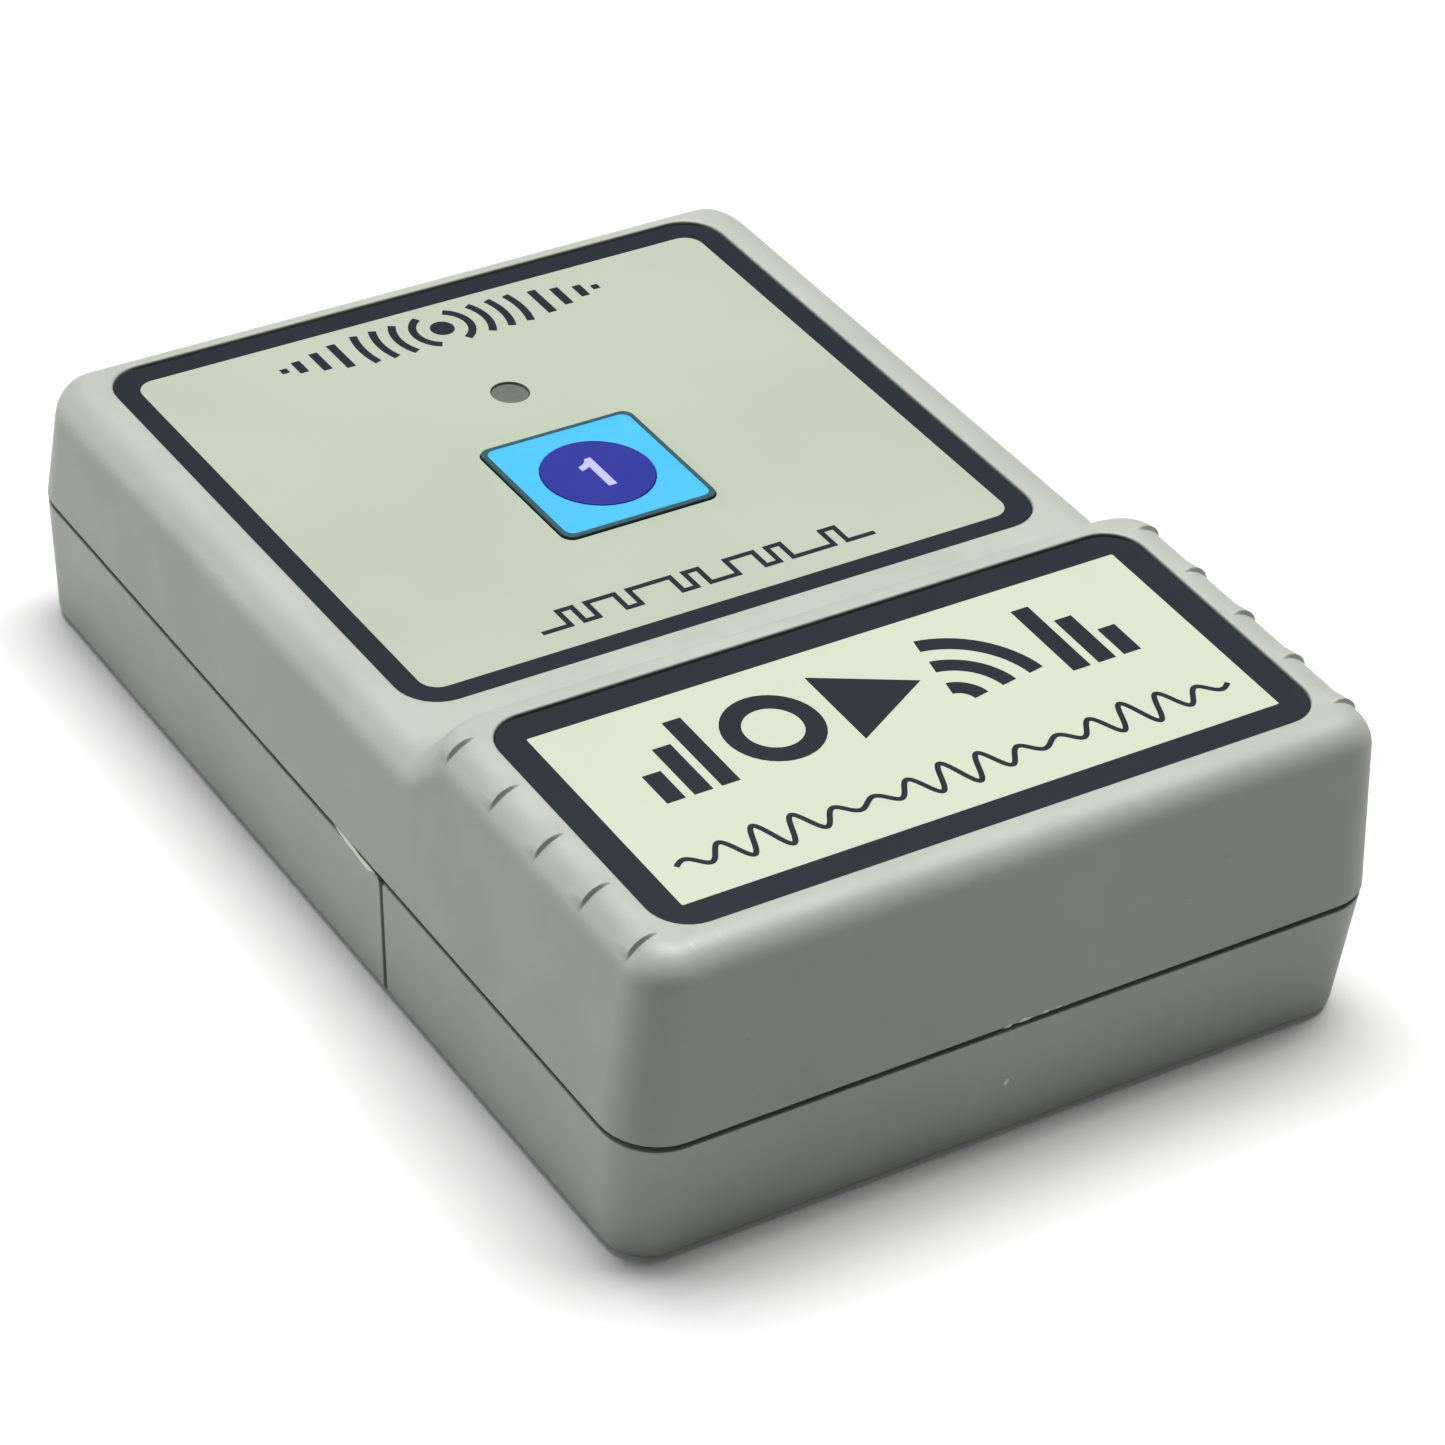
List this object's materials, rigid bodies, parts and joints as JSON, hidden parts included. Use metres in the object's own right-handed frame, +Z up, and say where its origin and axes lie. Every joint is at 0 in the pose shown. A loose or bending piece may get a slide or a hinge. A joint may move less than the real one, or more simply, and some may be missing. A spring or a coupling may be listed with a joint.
{
  "type": "hand-held radio remote transmitter",
  "caption": "Two-level hand-held radio transmitter case with a square key, an indicator window, printed labels and a sliding battery cover.",
  "frame": {"origin": "centre of the underside, where the case rests", "axes": "+Z up out of the label side, +Y towards the thin antenna end, +X to the right when the key side is read"},
  "size_m": [0.062, 0.0875, 0.0254],
  "materials": {
    "shell": "satin",
    "main_label": "satin",
    "name_label": "satin",
    "rating_label": "satin",
    "key": "satin",
    "disc": "satin",
    "window": "gloss",
    "board": "satin",
    "black_plastic": "satin",
    "led": "gloss",
    "steel": "satin",
    "copper": "satin",
    "jacket": "satin",
    "core": "matte",
    "capacitor": "satin",
    "foam": "matte",
    "red_lead": "satin",
    "black_lead": "satin",
    "connector": "matte"
  },
  "bodies": {
    "case": {"top_shell": "shell", "bottom_shell": "shell", "main_label": "main_label", "name_label": "name_label", "rating_label": "rating_label", "led_window": "window", "battery_pad": "foam", "tact_switch": "black_plastic", "led": "led", "encoder_chip": "black_plastic", "resonator_can": "steel", "crystal": "steel", "capacitor": "capacitor", "antenna_coil": "copper", "battery_jacket": "jacket", "battery_core": "core", "terminal_positive": "steel", "terminal_negative": "steel", "snap_connector": "connector", "circuit_board": "board", "lead_red": "red_lead", "lead_black": "black_lead", "case_screw_1": "steel", "case_screw_2": "steel", "case_screw_3": "steel", "case_screw_4": "steel", "board_screw_1": "steel", "board_screw_2": "steel"},
    "key": {"key_cap": "key", "key_disc": "disc", "switch_plunger": "black_plastic"},
    "cover": {"battery_cover": "shell"}
  },
  "joints": [
    {"name": "key_press", "type": "slide", "parent": "case", "child": "key", "axis": [0, -0.0231, -0.9997], "range_m": [0, 0.0003], "stiffness_N_per_m": 2500, "springref_m": -0.0003},
    {"name": "battery_cover_slide", "type": "slide", "parent": "case", "child": "cover", "axis": [0, -1, 0], "range_m": [0, 0.04]}
  ]
}
